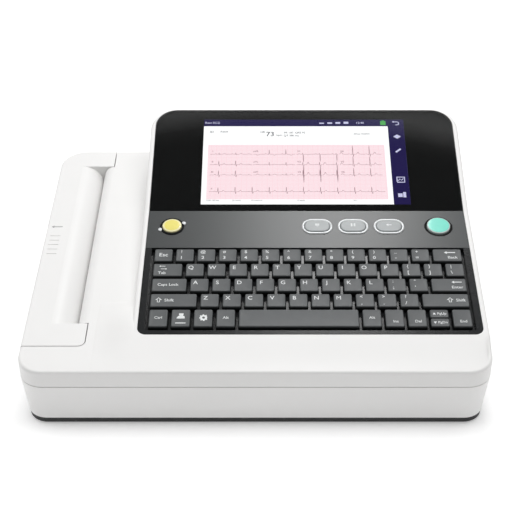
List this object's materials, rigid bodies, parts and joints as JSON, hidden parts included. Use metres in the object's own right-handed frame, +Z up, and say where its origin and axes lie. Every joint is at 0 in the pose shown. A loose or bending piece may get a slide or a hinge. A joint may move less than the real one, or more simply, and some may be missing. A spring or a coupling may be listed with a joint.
{
  "type": "ecg machine",
  "caption": "Desktop electrocardiograph with a sloping screen and keyboard console and a printer drawer that slides out on its left.",
  "frame": {"origin": "on the table, below the middle of the casing", "axes": "+X to the right as the user sees it, along the longest side; +Y to the back; +Z up"},
  "size_m": [0.354, 0.292, 0.108],
  "materials": {
    "white_casing": "fine moulded texture, satin",
    "plinth_black": "fine texture",
    "foot_rubber": "matte",
    "screw_steel": "zinc plated",
    "window_glass": "glossy, black printed border",
    "screen": "lit display",
    "frame_steel": "galvanised sheet",
    "strip_grey": "satin",
    "bezel_black": "semi-gloss",
    "key_grey": "fine texture",
    "board_green": "solder mask",
    "membrane": "film",
    "button_yellow": "satin gloss",
    "button_teal": "satin gloss",
    "button_silver": "satin",
    "ring_metal": "satin plated",
    "tray_white": "moulded",
    "paper": "thermal paper",
    "platen_rubber": "ground",
    "shaft_steel": "ground",
    "bush_plastic": "acetal",
    "gear_white": "acetal",
    "head_ceramic": "glazed",
    "bracket_aluminium": "milled",
    "motor_can": "black oxide",
    "cell_pack": "shrink sleeve",
    "connector_black": "moulded",
    "connector_metal": "nickel plated",
    "stud_brass": "nickelled brass",
    "ribbon": "flat cable"
  },
  "bodies": {
    "machine": {"ac_inlet": "connector_black", "base_casing": "white_casing", "base_plinth": "plinth_black", "battery_door": "plinth_black", "battery_pack": "cell_pack", "button_rings": "ring_metal", "casing_screws": "screw_steel", "control_strip": "strip_grey", "data_ports": "connector_metal", "display_window": "window_glass", "drawer_rails": "bush_plastic", "ecg_module": "board_green", "ground_stud": "stud_brass", "head_rod": "shaft_steel", "head_springs": "shaft_steel", "key_membrane": "membrane", "keyboard_base": "bezel_black", "keyboard_bezel": "bezel_black", "lcd_frame": "frame_steel", "lcd_screen": "screen", "main_board": "board_green", "patient_connector": "connector_metal", "power_supply": "board_green", "printer_frame": "frame_steel", "ribbon_cables": "ribbon", "rubber_feet": "foot_rubber", "speaker": "motor_can", "stepper_motor": "motor_can", "top_casing": "white_casing"},
    "drawer": {"drawer_cover": "white_casing", "drawer_front": "white_casing", "paper_tray": "tray_white", "paper_stack": "paper", "platen_bushes": "bush_plastic"},
    "platen": {"platen_roller": "platen_rubber", "platen_shaft": "shaft_steel", "platen_gear": "gear_white"},
    "idler": {"idler_gear": "gear_white"},
    "motor_rotor": {"motor_pinion": "stud_brass"},
    "head": {"print_head": "head_ceramic", "head_bracket": "bracket_aluminium"},
    "power_button": {"power_button": "button_yellow"},
    "function_button_1": {"function_button_1": "button_silver"},
    "function_button_2": {"function_button_2": "button_silver"},
    "function_button_3": {"function_button_3": "button_silver"},
    "start_button": {"start_button": "button_teal"},
    "key_escape": {"key_escape": "key_grey"},
    "keys_row_1": {"keys_row_1": "key_grey"},
    "key_backspace": {"key_backspace": "key_grey"},
    "key_tab": {"key_tab": "key_grey"},
    "keys_row_2": {"keys_row_2": "key_grey"},
    "key_caps_lock": {"key_caps_lock": "key_grey"},
    "keys_row_3": {"keys_row_3": "key_grey"},
    "key_enter": {"key_enter": "key_grey"},
    "shift_keys": {"shift_keys": "key_grey"},
    "keys_row_4": {"keys_row_4": "key_grey"},
    "keys_row_5": {"keys_row_5": "key_grey"},
    "key_space": {"key_space": "key_grey"},
    "page_keys": {"page_keys": "key_grey"}
  },
  "joints": [
    {"name": "drawer_slide", "type": "slide", "parent": "machine", "child": "drawer", "axis": [-1, 0, 0], "range_m": [0, 0.14]},
    {"name": "platen_spin", "type": "hinge", "parent": "drawer", "child": "platen", "pos_m": [-0.147, 0.0145, 0.031], "axis": [0, 1, 0], "continuous": true},
    {"name": "idler_spin", "type": "hinge", "parent": "machine", "child": "idler", "pos_m": [-0.1254, -0.1055, 0.031], "axis": [0, 1, 0], "continuous": true},
    {"name": "motor_spin", "type": "hinge", "parent": "machine", "child": "motor_rotor", "pos_m": [-0.10961, -0.1055, 0.03675], "axis": [0, 1, 0], "continuous": true},
    {"name": "head_pivot", "type": "hinge", "parent": "machine", "child": "head", "pos_m": [-0.128, 0.0145, 0.026], "axis": [0, 1, 0], "range_deg": [0, 2], "stiffness_Nm_per_rad": 3, "springref_deg": -2.29},
    {"name": "power_press", "type": "slide", "parent": "machine", "child": "power_button", "axis": [0, 0.1163, -0.9932], "range_m": [0, 0.001], "stiffness_N_per_m": 600, "springref_m": -0.001},
    {"name": "function_1_press", "type": "slide", "parent": "machine", "child": "function_button_1", "axis": [0, 0.1163, -0.9932], "range_m": [0, 0.001], "stiffness_N_per_m": 600, "springref_m": -0.001},
    {"name": "function_2_press", "type": "slide", "parent": "machine", "child": "function_button_2", "axis": [0, 0.1163, -0.9932], "range_m": [0, 0.001], "stiffness_N_per_m": 600, "springref_m": -0.001},
    {"name": "function_3_press", "type": "slide", "parent": "machine", "child": "function_button_3", "axis": [0, 0.1163, -0.9932], "range_m": [0, 0.001], "stiffness_N_per_m": 600, "springref_m": -0.001},
    {"name": "start_press", "type": "slide", "parent": "machine", "child": "start_button", "axis": [0, 0.1163, -0.9932], "range_m": [0, 0.001], "stiffness_N_per_m": 600, "springref_m": -0.001},
    {"name": "key_escape_press", "type": "slide", "parent": "machine", "child": "key_escape", "axis": [0, 0.1163, -0.9932], "range_m": [0, 0.0018], "stiffness_N_per_m": 300, "springref_m": -0.0015},
    {"name": "keys_row_1_press", "type": "slide", "parent": "machine", "child": "keys_row_1", "axis": [0, 0.1163, -0.9932], "range_m": [0, 0.0018], "stiffness_N_per_m": 300, "springref_m": -0.0015},
    {"name": "key_backspace_press", "type": "slide", "parent": "machine", "child": "key_backspace", "axis": [0, 0.1163, -0.9932], "range_m": [0, 0.0018], "stiffness_N_per_m": 300, "springref_m": -0.0015},
    {"name": "key_tab_press", "type": "slide", "parent": "machine", "child": "key_tab", "axis": [0, 0.1163, -0.9932], "range_m": [0, 0.0018], "stiffness_N_per_m": 300, "springref_m": -0.0015},
    {"name": "keys_row_2_press", "type": "slide", "parent": "machine", "child": "keys_row_2", "axis": [0, 0.1163, -0.9932], "range_m": [0, 0.0018], "stiffness_N_per_m": 300, "springref_m": -0.0015},
    {"name": "key_caps_lock_press", "type": "slide", "parent": "machine", "child": "key_caps_lock", "axis": [0, 0.1163, -0.9932], "range_m": [0, 0.0018], "stiffness_N_per_m": 300, "springref_m": -0.0015},
    {"name": "keys_row_3_press", "type": "slide", "parent": "machine", "child": "keys_row_3", "axis": [0, 0.1163, -0.9932], "range_m": [0, 0.0018], "stiffness_N_per_m": 300, "springref_m": -0.0015},
    {"name": "key_enter_press", "type": "slide", "parent": "machine", "child": "key_enter", "axis": [0, 0.1163, -0.9932], "range_m": [0, 0.0018], "stiffness_N_per_m": 300, "springref_m": -0.0015},
    {"name": "shift_keys_press", "type": "slide", "parent": "machine", "child": "shift_keys", "axis": [0, 0.1163, -0.9932], "range_m": [0, 0.0018], "stiffness_N_per_m": 300, "springref_m": -0.0015},
    {"name": "keys_row_4_press", "type": "slide", "parent": "machine", "child": "keys_row_4", "axis": [0, 0.1163, -0.9932], "range_m": [0, 0.0018], "stiffness_N_per_m": 300, "springref_m": -0.0015},
    {"name": "keys_row_5_press", "type": "slide", "parent": "machine", "child": "keys_row_5", "axis": [0, 0.1163, -0.9932], "range_m": [0, 0.0018], "stiffness_N_per_m": 300, "springref_m": -0.0015},
    {"name": "key_space_press", "type": "slide", "parent": "machine", "child": "key_space", "axis": [0, 0.1163, -0.9932], "range_m": [0, 0.0018], "stiffness_N_per_m": 300, "springref_m": -0.0015},
    {"name": "page_keys_press", "type": "slide", "parent": "machine", "child": "page_keys", "axis": [0, 0.1163, -0.9932], "range_m": [0, 0.0018], "stiffness_N_per_m": 300, "springref_m": -0.0015}
  ],
  "couplings": [
    {"joint": "idler_spin", "follows": "platen_spin", "ratio": -0.8},
    {"joint": "motor_spin", "follows": "platen_spin", "ratio": 2}
  ]
}
